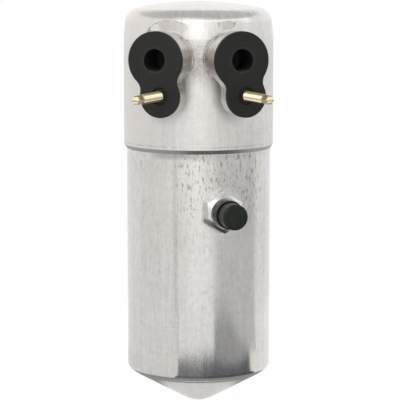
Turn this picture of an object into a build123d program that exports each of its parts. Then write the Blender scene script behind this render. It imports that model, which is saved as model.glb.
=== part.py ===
from build123d import *
import math
import os

os.makedirs("parts", exist_ok=True)

# All lengths in mm. +Z up the can's axis, -Y is the front with the ports.
# The origin is on the can's axis, in the middle of the plain band that a bracket clamps.

# Heights
base_z = -65.8
corner_z = base_z + 25.3
lower_rim_z = base_z + 176.8
lip_z = base_z + 162.4
bevel_z = base_z + 164.9
taper_z = base_z + 231.8
apex_z = base_z + 253.45
port_z = base_z + 220.2
service_z = base_z + 127.3

# Shells
wall = 1.69
body_r = 45.0
cap_r = body_r + wall
lip_r = 45.2
dome_r = 187.0
knuckle_r = 9.2
taper_run = 0.102
dome_fall = 4.5
nub_r = 18.6
cone_angle = 29.3
crease_r = 40.2
knee_angle = 14.0
corner_r = 4.4

# Ports: radial blocks, one each side of the front
port_azimuth = 22.6
pad_front = 65.2
pad_depth = 7.5
pad_r = 17.25
lobe_r = 12.67
lobe_drop = 21.6
pad_turn = 7.75
waist_r = 7.0
neck_r = 14.6
spigot_r = 11.0
spigot_end = 41.5
port_bore_r = 8.7
port_bore_end = 47.5
passage_r = 7.0
socket_end = 45.5
mouth_chamfer = 0.6
bore_match = 0.01
edge_chamfer = 0.5

# Port studs, M6
stud_r = 3.0
stud_drop = 21.3
stud_foot = 58.2
relief_stud_r = 2.5
shank_start = 67.9
stud_tip = 101.2
drive_length = 6.8
drive_r = 2.75
groove_r = 2.1
groove_width = 1.2
flute_r = 0.75

# Shipping covers
cover_depth = 2.4
plug_r = 8.4
plug_end = 48.1
recess_r = 6.86
recess_end = 49.6
cover_hole_r = 3.35
stud_well_r = 4.9
stud_well_floor = 66.2
stud_well_edge = 0.4
cover_edge = 0.5

# Service fitting, cap and valve core
service_azimuth = 18.0
hex_flats = 22.0
hex_front = 54.0
hex_crown_r = 9.5
hex_crown_drop = 2.7
service_spigot_r = 8.0
service_spigot_end = 41.8
relief_r = 4.4
relief_end = 57.5
nipple_r = 5.0
nipple_end = 69.5
gas_way_r = 2.2
seal_bore_r = 2.5
seal_bore_start = 56.0
thread_bore_r = 2.65
thread_bore_start = 61.6

cap_flange_r = 8.7
cap_mouth = 59.5
cap_flange_front = 61.4
cap_body_r = 7.8
cap_front = 72.5
cap_bore_r = 5.3
cap_roof = 70.7
cap_round = 1.4
seal_r = 4.9

core_thread_r = 2.6
core_tail_r = 2.0
core_foot = 58.5
core_step = 62.0
core_top = 67.5
core_pocket_r = 1.5
core_ledge = 59.5
core_pocket_top = 66.2
core_hole_r = 0.8
gasket_r = 2.45
gasket_low = 59.9
gasket_high = 61.4
pin_r = 0.6
pin_top = 68.8
pin_foot = 56.0
head_r = 1.8
head_depth = 0.9
washer_r = 1.95
shoulder_r = 1.3
shoulder_low = 64.4
shoulder_high = 65.0
spring_wire_r = 0.17
spring_mean_r = 1.08
spring_turns = 5

# Pickup tube, in the upright plane of the outlet port
tube_r = 8.0
tube_wall = 1.2
bend_r = 18.0
leg_u = 18.0
low_bend_z = base_z + 42.8
inlet_end_z = base_z + 233.8
outlet_bend_z = port_z - bend_r
bleed_r = 0.8

# Deflector
deflector_r = 34.0
deflector_wall = 1.5
deflector_top_z = base_z + 245.3
deflector_rim_z = base_z + 231.8
collar_r = 9.8
collar_low_z = base_z + 227.8
window_low_z = base_z + 234.4
window_width = 12.0
deflector_round = 4.0

# Desiccant bag and ties
pouch_half = 25.0
pouch_in = 8.1
pouch_out = 25.6
pouch_low_z = base_z + 75.8
pouch_high_z = base_z + 185.8
pouch_round = 7.0
web_half = 1.0
web_margin = 12.0
tie_levels = (base_z + 100.8, base_z + 160.8)
tie_half_u = 26.15
tie_half_w = 25.7
tie_thickness = 1.2
tie_height = 5.0
tie_corner = 8.0
tie_head = 6.0

# Oil bleed filter under the lowest bend
cage_r = 7.6
cage_floor_z = base_z + 5.0
cage_floor_top_z = base_z + 6.4
cage_ring_z = base_z + 12.8
cage_top_z = base_z + 25.8
clip_gap_r = 8.05
post_count = 4
post_width = 2.6
screen_r = 6.0
screen_wall = 0.5


def outward(azimuth):
    """Unit vector pointing out of the can at an azimuth from the front, positive to the viewer's right."""
    angle = math.radians(azimuth)
    return Vector(math.sin(angle), -math.cos(angle), 0)


def sideways(azimuth):
    """Unit vector along the can's surface, to the viewer's right."""
    angle = math.radians(azimuth)
    return Vector(math.cos(angle), math.sin(angle), 0)


def radial_plane(azimuth, distance, height):
    """Plane square to a radial axis, at a distance from the can's axis: x to the right, y up."""
    out = outward(azimuth)
    origin = out * distance + Vector(0, 0, height)
    return Plane(origin=origin, x_dir=sideways(azimuth), z_dir=out)


def upright_plane(azimuth):
    """Upright plane through the can's axis: x outwards at the azimuth, y up."""
    across = sideways(azimuth)
    return Plane(origin=(0, 0, 0), x_dir=outward(azimuth), z_dir=-across)


def cap_outline(inset):
    """Half section of the upper shell's form, drawn in by the given inset."""
    side_r = cap_r - inset
    dome = dome_r - inset
    dome_z = apex_z - dome_r
    top_z = apex_z - inset
    edge_r = side_r - taper_run * (top_z - dome_fall - taper_z)
    edge_z = dome_z + math.sqrt(dome ** 2 - edge_r ** 2)
    half_z = dome_z + math.sqrt(dome ** 2 - (edge_r / 2) ** 2)
    Polyline((0, lip_z), (side_r, lip_z), (side_r, taper_z), (edge_r, edge_z))
    ThreePointArc((edge_r, edge_z), (edge_r / 2, half_z), (0, top_z))
    Line((0, top_z), (0, lip_z))


def pad_plane(azimuth, distance):
    """Plane square to a port's axis, turned so that the pad's lobe hangs straight down in it."""
    origin = outward(azimuth) * distance + Vector(0, 0, port_z)
    lean = math.radians(pad_turn)
    x_dir = sideways(azimuth) * math.cos(lean) + Vector(0, 0, math.sin(lean))
    return Plane(origin=origin, x_dir=x_dir, z_dir=outward(azimuth))


# Outline of a port pad: a big round, a smaller lobe below it and a hollow curve at each waist

reach_pad = pad_r + waist_r
reach_lobe = lobe_r + waist_r
waist_y = -(lobe_drop ** 2 + reach_pad ** 2 - reach_lobe ** 2) / (2 * lobe_drop)
waist_x = math.sqrt(reach_pad ** 2 - waist_y ** 2)
pad_end = (waist_x * pad_r / reach_pad, waist_y * pad_r / reach_pad)
lobe_share = lobe_r / reach_lobe
lobe_end = (waist_x * lobe_share, -lobe_drop + (waist_y + lobe_drop) * lobe_share)

with BuildSketch() as keyhole:
    with BuildLine():
        ThreePointArc((-pad_end[0], pad_end[1]), (0, pad_r), pad_end)
        ThreePointArc(pad_end, (waist_x - waist_r, waist_y), lobe_end)
        ThreePointArc(lobe_end, (0, -lobe_drop - lobe_r), (-lobe_end[0], lobe_end[1]))
        ThreePointArc((-lobe_end[0], lobe_end[1]), (waist_r - waist_x, waist_y), (-pad_end[0], pad_end[1]))
    make_face()

# Upper shell: filled form first, so that the blocks can be cut to it

with BuildPart() as cap_form:
    with BuildSketch(Plane.XZ) as section:
        with BuildLine():
            cap_outline(0)
        make_face()
        shoulder = section.vertices().filter_by(lambda v: v.X > body_r / 2).sort_by(Axis.Y)[-1]
        fillet(shoulder, knuckle_r)
    revolve(axis=Axis.Z)

with BuildPart() as cap_hollow:
    with BuildSketch(Plane.XZ) as section:
        with BuildLine():
            cap_outline(wall)
        make_face()
        shoulder = section.vertices().filter_by(lambda v: v.X > body_r / 2).sort_by(Axis.Y)[-1]
        fillet(shoulder, knuckle_r - wall)
    revolve(axis=Axis.Z)

with BuildPart() as upper_shell:
    add(cap_form.part)
    add(cap_hollow.part, mode=Mode.SUBTRACT)
    lip = upper_shell.edges().filter_by(GeomType.CIRCLE).sort_by(Axis.Z)[:2].sort_by(SortBy.RADIUS)[-1]
    chamfer(lip, bevel_z - lip_z, cap_r - lip_r)
    for azimuth in (-port_azimuth, port_azimuth):
        with BuildSketch(radial_plane(azimuth, spigot_end, port_z)):
            Circle(spigot_r)
        extrude(amount=neck_r, mode=Mode.SUBTRACT)
upper_shell.part.label = "upper_shell"
export_step(upper_shell.part, "parts/upper_shell.step")

# Lower shell: drawn tube, its bottom spun shut over a rounded nub with a crease round it

cone = math.radians(cone_angle)
knee = math.radians(knee_angle)
corner_mid = (knee + math.pi / 2) / 2
corner_centre_r = body_r - corner_r
nub_centre_z = base_z + nub_r
crease_z = nub_centre_z - (nub_r - crease_r * math.sin(cone)) / math.cos(cone)


def arc_point(centre_r, centre_z, radius, angle):
    """Point of an arc of the bottom's section, its angle counted from straight down."""
    return (centre_r + radius * math.sin(angle), centre_z - radius * math.cos(angle))


def crease_point(inset):
    """Fold between the cone and the knee, on the outer face or a wall's thickness inside it."""
    knee_end = arc_point(corner_centre_r, corner_z, corner_r, knee)
    steep = math.atan2(knee_end[1] - crease_z, knee_end[0] - crease_r)
    mean = (cone + steep) / 2
    reach = inset / math.cos((steep - cone) / 2)
    return (crease_r - reach * math.sin(mean), crease_z + reach * math.cos(mean))


with BuildPart() as lower_shell:
    with BuildSketch(Plane.XZ):
        with BuildLine():
            for inset in (0, wall):
                ball = nub_r - inset
                bend = corner_r - inset
                nub_edge = arc_point(0, nub_centre_z, ball, cone)
                corner_edge = arc_point(corner_centre_r, corner_z, bend, knee)
                ThreePointArc((0, nub_centre_z - ball), arc_point(0, nub_centre_z, ball, cone / 2), nub_edge)
                Polyline(nub_edge, crease_point(inset), corner_edge)
                corner_middle = arc_point(corner_centre_r, corner_z, bend, corner_mid)
                ThreePointArc(corner_edge, corner_middle, (body_r - inset, corner_z))
                Line((body_r - inset, corner_z), (body_r - inset, lower_rim_z))
            Line((body_r, lower_rim_z), (body_r - wall, lower_rim_z))
            Line((0, nub_centre_z - nub_r), (0, nub_centre_z - nub_r + wall))
        make_face()
    revolve(axis=Axis.Z)
    with BuildSketch(radial_plane(service_azimuth, service_spigot_end, service_z)):
        Circle(service_spigot_r)
    extrude(amount=nipple_r * 2, mode=Mode.SUBTRACT)
lower_shell.part.label = "lower_shell"
export_step(lower_shell.part, "parts/lower_shell.step")

# Port blocks: a keyhole pad on a round neck, saddled on the shell, with a spigot through its hole

for name, azimuth, has_socket in (
    ("inlet_port_block", -port_azimuth, False),
    ("outlet_port_block", port_azimuth, True),
):
    with BuildPart() as block:
        with BuildSketch(pad_plane(azimuth, pad_front)):
            add(keyhole.sketch)
        extrude(amount=-pad_depth)
        with BuildSketch(radial_plane(azimuth, spigot_end, port_z)):
            Circle(neck_r)
        extrude(amount=pad_front - pad_depth - spigot_end)
        add(cap_form.part, mode=Mode.SUBTRACT)
        with BuildSketch(radial_plane(azimuth, spigot_end, port_z)):
            Circle(spigot_r)
        extrude(amount=port_bore_end - spigot_end)
        with BuildSketch(radial_plane(azimuth, port_bore_end, port_z)):
            Circle(port_bore_r)
        extrude(amount=pad_front - port_bore_end, mode=Mode.SUBTRACT)
        mouth_circles = block.edges().filter_by(GeomType.CIRCLE)
        mouth_circles = mouth_circles.filter_by(lambda e: abs(e.radius - port_bore_r) < bore_match)
        mouth = mouth_circles.sort_by(Axis(origin=(0, 0, 0), direction=outward(azimuth)))[-1]
        chamfer(mouth, mouth_chamfer)
        with BuildSketch(radial_plane(azimuth, spigot_end, port_z)):
            Circle(passage_r)
        extrude(amount=port_bore_end - spigot_end, mode=Mode.SUBTRACT)
        if has_socket:
            with BuildSketch(radial_plane(azimuth, spigot_end, port_z)):
                Circle(tube_r)
            extrude(amount=socket_end - spigot_end, mode=Mode.SUBTRACT)
        with BuildSketch(pad_plane(azimuth, pad_front)):
            with Locations((0, -stud_drop)):
                Circle(stud_r)
        extrude(amount=-pad_depth, mode=Mode.SUBTRACT)
    block.part.label = name
    export_step(block.part, f"parts/{name}.step")

# Studs: M6 root in the pad, a relief at its face, the shank, a groove and a six-lobed drive end

shank_end = stud_tip - drive_length - groove_width
with BuildPart() as port_studs:
    for azimuth in (-port_azimuth, port_azimuth):
        for radius, start, end in (
            (stud_r, stud_foot, pad_front),
            (relief_stud_r, pad_front, shank_start),
            (stud_r, shank_start, shank_end),
            (groove_r, shank_end, shank_end + groove_width),
        ):
            with BuildSketch(pad_plane(azimuth, start)):
                with Locations((0, -stud_drop)):
                    Circle(radius)
            extrude(amount=end - start)
        with BuildSketch(pad_plane(azimuth, stud_tip - drive_length)):
            with Locations((0, -stud_drop)):
                Circle(drive_r)
                with PolarLocations(drive_r + flute_r * 0.35, 6):
                    Circle(flute_r, mode=Mode.SUBTRACT)
        extrude(amount=drive_length)
port_studs.part.label = "port_studs"
export_step(port_studs.part, "parts/port_studs.step")

# Shipping covers: keyhole flange, hollow plug in the port, a well and a clearance hole round the stud

for name, azimuth in (("inlet_cover", -port_azimuth), ("outlet_cover", port_azimuth)):
    with BuildPart() as cover:
        with BuildSketch(pad_plane(azimuth, pad_front)):
            add(keyhole.sketch)
        extrude(amount=cover_depth)
        front = cover.faces().sort_by(Axis(origin=(0, 0, 0), direction=outward(azimuth)))[-1]
        fillet(front.edges(), cover_edge)
        with BuildSketch(radial_plane(azimuth, plug_end, port_z)):
            Circle(plug_r)
        extrude(amount=pad_front - plug_end)
        with BuildSketch(radial_plane(azimuth, recess_end, port_z)):
            Circle(recess_r)
        extrude(amount=pad_front + cover_depth - recess_end, mode=Mode.SUBTRACT)
        for radius, start in ((cover_hole_r, pad_front), (stud_well_r, stud_well_floor)):
            with BuildSketch(pad_plane(azimuth, start)):
                with Locations((0, -stud_drop)):
                    Circle(radius)
            extrude(amount=pad_front + cover_depth - start, mode=Mode.SUBTRACT)
        well_circles = cover.edges().filter_by(GeomType.CIRCLE)
        well_circles = well_circles.filter_by(lambda e: abs(e.radius - stud_well_r) < bore_match)
        rim = well_circles.sort_by(Axis(origin=(0, 0, 0), direction=outward(azimuth)))[-1]
        chamfer(rim, stud_well_edge)
    cover.part.label = name
    export_step(cover.part, f"parts/{name}.step")

# Service fitting: hexagon with a coned crown, relief, threaded nipple and stepped valve bore

with BuildPart() as can_form:
    with BuildSketch(Plane.XY.offset(service_z - hex_flats)):
        Circle(body_r)
    extrude(amount=hex_flats * 2)

with BuildPart() as service_fitting:
    with BuildSketch(radial_plane(service_azimuth, service_spigot_end, service_z)):
        RegularPolygon(hex_flats / 2, 6, major_radius=False, rotation=30)
    extrude(amount=hex_front - service_spigot_end)
    corner_reach = hex_flats / math.sqrt(3) + 0.1
    crown_slope = hex_crown_drop / (corner_reach - hex_crown_r)
    with BuildSketch(upright_plane(service_azimuth)) as crown:
        with BuildLine():
            Polyline(
                (hex_front, service_z + hex_crown_r),
                (hex_front - hex_crown_drop, service_z + corner_reach),
                (hex_front + 1.0, service_z + corner_reach),
                (hex_front + 1.0, service_z + hex_crown_r),
                close=True,
            )
        make_face()
    revolve(axis=Axis(origin=(0, 0, service_z), direction=outward(service_azimuth)), mode=Mode.SUBTRACT)
    add(can_form.part, mode=Mode.SUBTRACT)
    with BuildSketch(radial_plane(service_azimuth, service_spigot_end, service_z)):
        Circle(service_spigot_r)
    extrude(amount=hex_front - hex_crown_drop - service_spigot_end)
    with BuildSketch(radial_plane(service_azimuth, hex_front, service_z)):
        Circle(relief_r)
    extrude(amount=relief_end - hex_front)
    with BuildSketch(radial_plane(service_azimuth, relief_end, service_z)):
        Circle(nipple_r)
    extrude(amount=nipple_end - relief_end)
    tip = service_fitting.faces().sort_by(Axis(origin=(0, 0, 0), direction=outward(service_azimuth)))[-1]
    chamfer(tip.edges(), edge_chamfer)
    for radius, start, end in (
        (gas_way_r, service_spigot_end, seal_bore_start),
        (seal_bore_r, seal_bore_start, thread_bore_start),
        (thread_bore_r, thread_bore_start, nipple_end),
    ):
        with BuildSketch(radial_plane(service_azimuth, start, service_z)):
            Circle(radius)
        extrude(amount=end - start, mode=Mode.SUBTRACT)
service_fitting.part.label = "service_fitting"
export_step(service_fitting.part, "parts/service_fitting.step")

# Valve core

with BuildPart() as valve_core_body:
    for radius, start, end in ((core_tail_r, core_foot, core_step), (core_thread_r, core_step, core_top)):
        with BuildSketch(radial_plane(service_azimuth, start, service_z)):
            Circle(radius)
        extrude(amount=end - start)
    for radius, start, end in ((core_hole_r, core_foot, core_top), (core_pocket_r, core_ledge, core_pocket_top)):
        with BuildSketch(radial_plane(service_azimuth, start, service_z)):
            Circle(radius)
        extrude(amount=end - start, mode=Mode.SUBTRACT)
valve_core_body.part.label = "valve_core_body"
export_step(valve_core_body.part, "parts/valve_core_body.step")

with BuildPart() as valve_core_gasket:
    with BuildSketch(radial_plane(service_azimuth, gasket_low, service_z)):
        Circle(gasket_r)
        Circle(core_tail_r, mode=Mode.SUBTRACT)
    extrude(amount=gasket_high - gasket_low)
valve_core_gasket.part.label = "valve_core_gasket"
export_step(valve_core_gasket.part, "parts/valve_core_gasket.step")

with BuildPart() as valve_pin:
    for radius, start, end in (
        (head_r, pin_foot, pin_foot + head_depth),
        (pin_r, pin_foot, pin_top),
        (shoulder_r, shoulder_low, shoulder_high),
    ):
        with BuildSketch(radial_plane(service_azimuth, start, service_z)):
            Circle(radius)
        extrude(amount=end - start)
valve_pin.part.label = "valve_pin"
export_step(valve_pin.part, "parts/valve_pin.step")

with BuildPart() as valve_seat_washer:
    with BuildSketch(radial_plane(service_azimuth, pin_foot + head_depth, service_z)):
        Circle(washer_r)
        Circle(pin_r, mode=Mode.SUBTRACT)
    extrude(amount=core_foot - pin_foot - head_depth)
valve_seat_washer.part.label = "valve_seat_washer"
export_step(valve_seat_washer.part, "parts/valve_seat_washer.step")

spring_low = core_ledge + spring_wire_r
spring_length = shoulder_low - core_ledge - 2 * spring_wire_r
with BuildPart() as valve_spring:
    with BuildLine() as coil:
        Helix(
            pitch=spring_length / spring_turns,
            height=spring_length,
            radius=spring_mean_r,
            center=outward(service_azimuth) * spring_low + Vector(0, 0, service_z),
            direction=outward(service_azimuth),
        )
    with BuildSketch(Plane(origin=coil.line @ 0, z_dir=coil.line % 0)):
        RegularPolygon(spring_wire_r, 6)
    sweep(path=coil.line, is_frenet=True)
valve_spring.part.label = "valve_spring"
export_step(valve_spring.part, "parts/valve_spring.step")

# Service cap: thin flange at the mouth, round body with an eased front edge

with BuildPart() as service_cap:
    for radius, start, end in ((cap_flange_r, cap_mouth, cap_flange_front), (cap_body_r, cap_flange_front, cap_front)):
        with BuildSketch(radial_plane(service_azimuth, start, service_z)):
            Circle(radius)
        extrude(amount=end - start)
    front = service_cap.faces().sort_by(Axis(origin=(0, 0, 0), direction=outward(service_azimuth)))[-1]
    fillet(front.edges(), cap_round)
    with BuildSketch(radial_plane(service_azimuth, cap_mouth, service_z)):
        Circle(cap_bore_r)
    extrude(amount=cap_roof - cap_mouth, mode=Mode.SUBTRACT)
service_cap.part.label = "service_cap"
export_step(service_cap.part, "parts/service_cap.step")

with BuildPart() as cap_seal:
    with BuildSketch(radial_plane(service_azimuth, nipple_end, service_z)):
        Circle(seal_r)
    extrude(amount=cap_roof - nipple_end)
cap_seal.part.label = "cap_seal"
export_step(cap_seal.part, "parts/cap_seal.step")

# Pickup tube: open under the deflector, down, round the bottom, up and out to the outlet port

tube_plane = upright_plane(port_azimuth)
with BuildPart() as tube_form:
    with BuildLine(tube_plane) as centreline:
        Line((-leg_u, inlet_end_z), (-leg_u, low_bend_z))
        ThreePointArc((-leg_u, low_bend_z), (0, low_bend_z - bend_r), (leg_u, low_bend_z))
        Line((leg_u, low_bend_z), (leg_u, outlet_bend_z))
        elbow = bend_r * (1 - math.cos(math.pi / 4))
        ThreePointArc(
            (leg_u, outlet_bend_z),
            (leg_u + elbow, port_z - elbow),
            (leg_u + bend_r, port_z),
        )
        Line((leg_u + bend_r, port_z), (socket_end, port_z))
    tube_start = centreline.line @ 0
    with BuildSketch(Plane(origin=tube_start, z_dir=(0, 0, -1))):
        Circle(tube_r)
    sweep(path=centreline.line)

with BuildPart() as pickup_tube:
    add(tube_form.part)
    with BuildSketch(Plane(origin=tube_start, z_dir=(0, 0, -1))):
        Circle(tube_r - tube_wall)
    sweep(path=centreline.line, mode=Mode.SUBTRACT)
    with BuildSketch(Plane.XY.offset(low_bend_z - bend_r - tube_r - 1)):
        Circle(bleed_r)
    extrude(amount=tube_r, mode=Mode.SUBTRACT)
pickup_tube.part.label = "pickup_tube"
export_step(pickup_tube.part, "parts/pickup_tube.step")

# Deflector: inverted cup, with a windowed collar that grips the tube's open end

collar_xy = outward(port_azimuth) * -leg_u
with BuildPart() as deflector:
    with BuildSketch(Plane.XY.offset(deflector_rim_z)):
        Circle(deflector_r)
    extrude(amount=deflector_top_z - deflector_rim_z)
    crown_edge = deflector.edges().filter_by(GeomType.CIRCLE).sort_by(Axis.Z)[-1]
    fillet(crown_edge, deflector_round)
    with BuildSketch(Plane.XY.offset(deflector_rim_z)):
        Circle(deflector_r - deflector_wall)
    extrude(amount=deflector_top_z - deflector_wall - deflector_rim_z, mode=Mode.SUBTRACT)
    with BuildSketch(Plane.XY.offset(collar_low_z)):
        with Locations((collar_xy.X, collar_xy.Y)):
            Circle(collar_r)
            Circle(tube_r, mode=Mode.SUBTRACT)
    extrude(amount=deflector_top_z - deflector_wall - collar_low_z)
    with BuildSketch(Plane.XY.offset(window_low_z)):
        with Locations((collar_xy.X, collar_xy.Y)):
            Rectangle(window_width, collar_r * 2 + 2)
            Rectangle(collar_r * 2 + 2, window_width)
    extrude(amount=deflector_top_z - deflector_wall - window_low_z, mode=Mode.SUBTRACT)
deflector.part.label = "deflector"
export_step(deflector.part, "parts/deflector.step")

# Desiccant bag: two filled pouches on a web that passes between the tube's legs

with BuildPart() as desiccant_bag:
    across = Plane(origin=(0, 0, pouch_low_z), x_dir=outward(port_azimuth), z_dir=(0, 0, 1))
    with BuildSketch(across):
        with Locations((0, (pouch_in + pouch_out) / 2), (0, -(pouch_in + pouch_out) / 2)):
            Rectangle(pouch_half * 2, pouch_out - pouch_in)
    extrude(amount=pouch_high_z - pouch_low_z)
    fillet(desiccant_bag.edges(), pouch_round)
    with BuildSketch(Plane(origin=(0, 0, pouch_low_z + web_margin), x_dir=outward(port_azimuth), z_dir=(0, 0, 1))):
        Rectangle(web_half * 2, pouch_in * 2 + 2)
    extrude(amount=pouch_high_z - pouch_low_z - 2 * web_margin)
desiccant_bag.part.label = "desiccant_bag"
export_step(desiccant_bag.part, "parts/desiccant_bag.step")

with BuildPart() as bag_ties:
    for level in tie_levels:
        tie_plane = Plane(origin=(0, 0, level), x_dir=outward(port_azimuth), z_dir=(0, 0, 1))
        with BuildSketch(tie_plane):
            RectangleRounded(
                2 * (tie_half_u + tie_thickness),
                2 * (tie_half_w + tie_thickness),
                tie_corner + tie_thickness,
            )
            with Locations((0, tie_half_w + tie_thickness + 1)):
                Rectangle(tie_head, 2 + tie_thickness)
            RectangleRounded(2 * tie_half_u, 2 * tie_half_w, tie_corner, mode=Mode.SUBTRACT)
        extrude(amount=tie_height)
bag_ties.part.label = "bag_ties"
export_step(bag_ties.part, "parts/bag_ties.step")

# Oil bleed filter: cage clipped under the lowest bend, with a mesh sleeve inside its posts

with BuildPart() as bleed_filter_cage:
    with BuildSketch(Plane.XY.offset(cage_floor_z)):
        Circle(cage_r)
    extrude(amount=cage_floor_top_z - cage_floor_z)
    with BuildSketch(Plane.XY.offset(cage_ring_z)):
        Circle(cage_r)
    extrude(amount=cage_top_z - cage_ring_z)
    with BuildSketch(Plane.XY.offset(cage_ring_z)):
        Circle(screen_r - screen_wall)
    extrude(amount=tube_r, mode=Mode.SUBTRACT)
    with BuildSketch(Plane.XY.offset(cage_floor_top_z)):
        with PolarLocations((screen_r + cage_r) / 2, post_count, start_angle=45):
            Rectangle(cage_r - screen_r, post_width)
    extrude(amount=cage_ring_z - cage_floor_top_z)
    with BuildSketch(Plane(origin=tube_start, z_dir=(0, 0, -1))):
        Circle(clip_gap_r)
    sweep(path=centreline.line, mode=Mode.SUBTRACT)
bleed_filter_cage.part.label = "bleed_filter_cage"
export_step(bleed_filter_cage.part, "parts/bleed_filter_cage.step")

with BuildPart() as bleed_screen:
    with BuildSketch(Plane.XY.offset(cage_floor_top_z)):
        Circle(screen_r)
        Circle(screen_r - screen_wall, mode=Mode.SUBTRACT)
    extrude(amount=cage_ring_z - cage_floor_top_z)
bleed_screen.part.label = "bleed_screen"
export_step(bleed_screen.part, "parts/bleed_screen.step")
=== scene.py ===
import math

import bmesh
import bpy
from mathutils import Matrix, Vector, noise


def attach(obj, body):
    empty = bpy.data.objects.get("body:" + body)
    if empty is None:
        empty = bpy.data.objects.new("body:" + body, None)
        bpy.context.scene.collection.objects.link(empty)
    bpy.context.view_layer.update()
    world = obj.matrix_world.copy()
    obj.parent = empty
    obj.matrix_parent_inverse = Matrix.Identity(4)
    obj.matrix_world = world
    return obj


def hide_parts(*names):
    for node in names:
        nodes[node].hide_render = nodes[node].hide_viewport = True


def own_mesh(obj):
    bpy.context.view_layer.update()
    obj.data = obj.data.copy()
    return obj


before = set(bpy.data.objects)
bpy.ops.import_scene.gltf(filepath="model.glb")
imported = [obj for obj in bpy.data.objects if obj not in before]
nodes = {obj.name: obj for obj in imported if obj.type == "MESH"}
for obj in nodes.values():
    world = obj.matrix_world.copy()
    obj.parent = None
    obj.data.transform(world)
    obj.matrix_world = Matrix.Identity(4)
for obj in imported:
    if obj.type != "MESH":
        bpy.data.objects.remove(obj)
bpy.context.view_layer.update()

# Places in the part's frame, in metres. The front, with the ports, faces -Y.

FLOOR = -0.0658
PORT_AZIMUTH = 22.6
PORT_Z = 0.1544
SERVICE_AZIMUTH = 18.0
SERVICE_Z = 0.0615
SHELL_R = 0.045
CAP_R = 0.04669
TAPER_Z = 0.166
TAPER_RUN = 0.102
LIP_Z = 0.0966
NECK_R = 0.0146
PAD_FRONT = 0.0652
STUD_Z = 0.133295
STUD_SHIFT = 0.002872
STUD_R = 0.0030
STUD_ROOT = 0.00247
STUD_RELIEF = 0.0025
STUD_GROOVE = 0.0021
STUD_FOOT = 0.0582
SHANK_FOOT = 0.0679
SHANK_END = 0.0932
DRIVE_FOOT = 0.0944
DRIVE_R = 0.00275
STUD_TIP = 0.1012
THREAD_PITCH = 0.001


def outward(azimuth):
    """Unit vector out of the can at an azimuth from the front, positive to the viewer's right."""
    angle = math.radians(azimuth)
    return Vector((math.sin(angle), -math.cos(angle), 0.0))


def sideways(azimuth):
    """Unit vector along the can's surface, to the viewer's right."""
    angle = math.radians(azimuth)
    return Vector((math.cos(angle), math.sin(angle), 0.0))


# Small tools for node materials

class Shader:
    """A material's node tree, with one line for each node that is added."""

    def __init__(self, name):
        self.material = bpy.data.materials.new(name)
        self.material.use_nodes = True
        self.tree = self.material.node_tree
        self.bsdf = self.tree.nodes["Principled BSDF"]
        self.place = self.add("ShaderNodeTexCoord").outputs["Object"]

    def add(self, kind, **settings):
        made = self.tree.nodes.new(kind)
        for key, value in settings.items():
            setattr(made, key, value)
        return made

    def join(self, source, target):
        """A number goes into the socket as its value, and an output is linked to it."""
        if hasattr(source, "is_output"):
            self.tree.links.new(source, target)
        else:
            target.default_value = source

    def math(self, operation, a, b=0.0, c=0.0, clamp=False):
        made = self.add("ShaderNodeMath", operation=operation, use_clamp=clamp)
        for value, socket in zip((a, b, c), made.inputs):
            self.join(value, socket)
        return made.outputs[0]

    def dot(self, vector, direction):
        made = self.add("ShaderNodeVectorMath", operation="DOT_PRODUCT")
        self.join(vector, made.inputs[0])
        made.inputs[1].default_value = direction
        return made.outputs["Value"]

    def scaled(self, x, y, z):
        made = self.add("ShaderNodeMapping")
        made.inputs["Scale"].default_value = (x, y, z)
        self.join(self.place, made.inputs["Vector"])
        return made.outputs[0]

    def noise(self, vector, scale, detail=3.0, rough=0.5):
        made = self.add("ShaderNodeTexNoise")
        self.join(vector, made.inputs["Vector"])
        made.inputs["Scale"].default_value = scale
        made.inputs["Detail"].default_value = detail
        made.inputs["Roughness"].default_value = rough
        return made.outputs["Fac"]

    def span(self, value, low, high, to_low=0.0, to_high=1.0, smooth=True):
        """Maps low..high to to_low..to_high, held at the ends."""
        made = self.add("ShaderNodeMapRange", interpolation_type="SMOOTHSTEP" if smooth else "LINEAR")
        self.join(value, made.inputs["Value"])
        made.inputs["From Min"].default_value = low
        made.inputs["From Max"].default_value = high
        made.inputs["To Min"].default_value = to_low
        made.inputs["To Max"].default_value = to_high
        return made.outputs["Result"]

    def blend(self, share, first, second, mode="MIX"):
        made = self.add("ShaderNodeMix", data_type="RGBA", blend_type=mode, clamp_factor=True)
        self.join(share, made.inputs[0])
        for value, socket in ((first, made.inputs[6]), (second, made.inputs[7])):
            self.join(value, socket)
        return made.outputs[2]

    def shade(self, colour, amount):
        """Colour times a number."""
        made = self.add("ShaderNodeVectorMath", operation="SCALE")
        self.join(colour[:3] if isinstance(colour, tuple) else colour, made.inputs[0])
        self.join(amount, made.inputs["Scale"])
        return made.outputs[0]

    def bump(self, height, distance, strength=1.0):
        made = self.add("ShaderNodeBump")
        made.inputs["Distance"].default_value = distance
        made.inputs["Strength"].default_value = strength
        self.join(height, made.inputs["Height"])
        self.join(made.outputs[0], self.bsdf.inputs["Normal"])

    def finish(self, colour, roughness, metallic=0.0, **constants):
        self.join(colour, self.bsdf.inputs["Base Color"])
        self.join(roughness, self.bsdf.inputs["Roughness"])
        self.join(metallic, self.bsdf.inputs["Metallic"])
        for name, value in constants.items():
            self.bsdf.inputs[name.replace("_", " ")].default_value = value
        return self.material


def rgb(r, g, b):
    return (r, g, b, 1.0)


# Aluminium

def cylinder_place(s, radius):
    """Shading position unrolled off the can: arc length from the front, depth, height."""
    split = s.add("ShaderNodeSeparateXYZ")
    s.join(s.place, split.inputs[0])
    x, y, z = split.outputs
    angle = s.math("ARCTAN2", x, s.math("MULTIPLY", y, -1.0))
    return s.math("MULTIPLY", angle, radius), z, s.math("MULTIPLY", angle, 180.0 / math.pi)


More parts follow.
